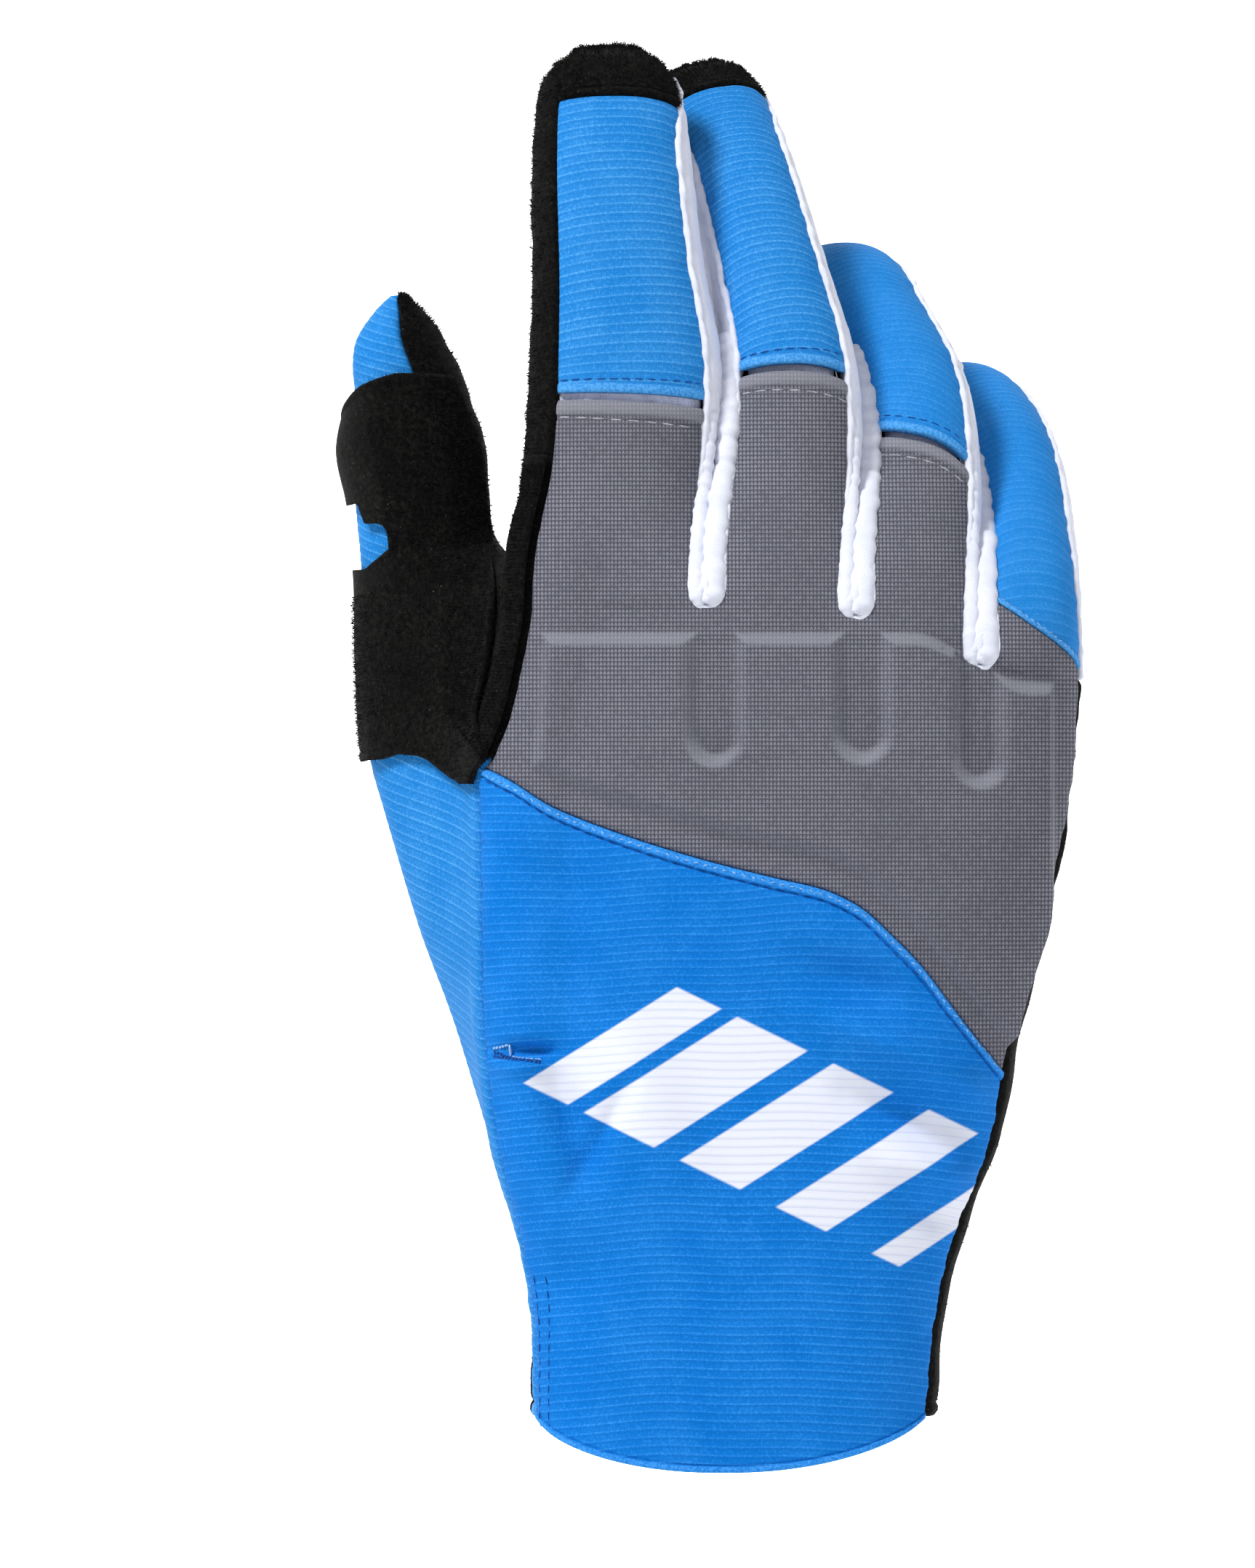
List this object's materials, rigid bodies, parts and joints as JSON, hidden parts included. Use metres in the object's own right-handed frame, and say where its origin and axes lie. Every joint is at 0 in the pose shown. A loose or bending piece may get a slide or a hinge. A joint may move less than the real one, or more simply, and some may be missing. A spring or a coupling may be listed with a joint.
{
  "type": "motocross glove",
  "caption": "Worn-shape right-hand riding glove with ribbed blue back, padded grey knuckle panel, white finger sides, and black suede palm and thumb overlay, open at the wrist.",
  "frame": {"origin": "centre of the wrist opening, level with the side ends of the cuff's hem", "axes": "+Z along the forearm towards the fingertips, -Y out of the back of the hand, -X towards the thumb"},
  "size_m": [0.122, 0.0931, 0.2333],
  "materials": {
    "blue_rib_knit": "ribbed stretch knit",
    "grey_knit": "fine stretch knit",
    "white_stretch": "smooth stretch fabric",
    "gusset_mesh": "thin stretch fabric",
    "black_suede": "synthetic suede"
  },
  "bodies": {
    "root": {"cuff_back": "blue_rib_knit", "index_back": "blue_rib_knit", "middle_back": "blue_rib_knit", "ring_back": "blue_rib_knit", "pinky_back": "blue_rib_knit", "thumb_back": "blue_rib_knit", "knuckle_panel": "grey_knit", "fourchette_index_middle": "white_stretch", "fourchette_middle_ring": "white_stretch", "fourchette_ring_pinky": "white_stretch", "pinky_side_strip": "white_stretch", "index_flex_gusset": "gusset_mesh", "middle_flex_gusset": "gusset_mesh", "ring_flex_gusset": "gusset_mesh", "palm": "black_suede", "index_front": "black_suede", "middle_front": "black_suede", "ring_front": "black_suede", "pinky_front": "black_suede", "index_tip_cap": "black_suede", "middle_tip_cap": "black_suede", "thumb_front": "black_suede", "thumb_patch": "black_suede", "side_binding": "black_suede"}
  },
  "joints": []
}
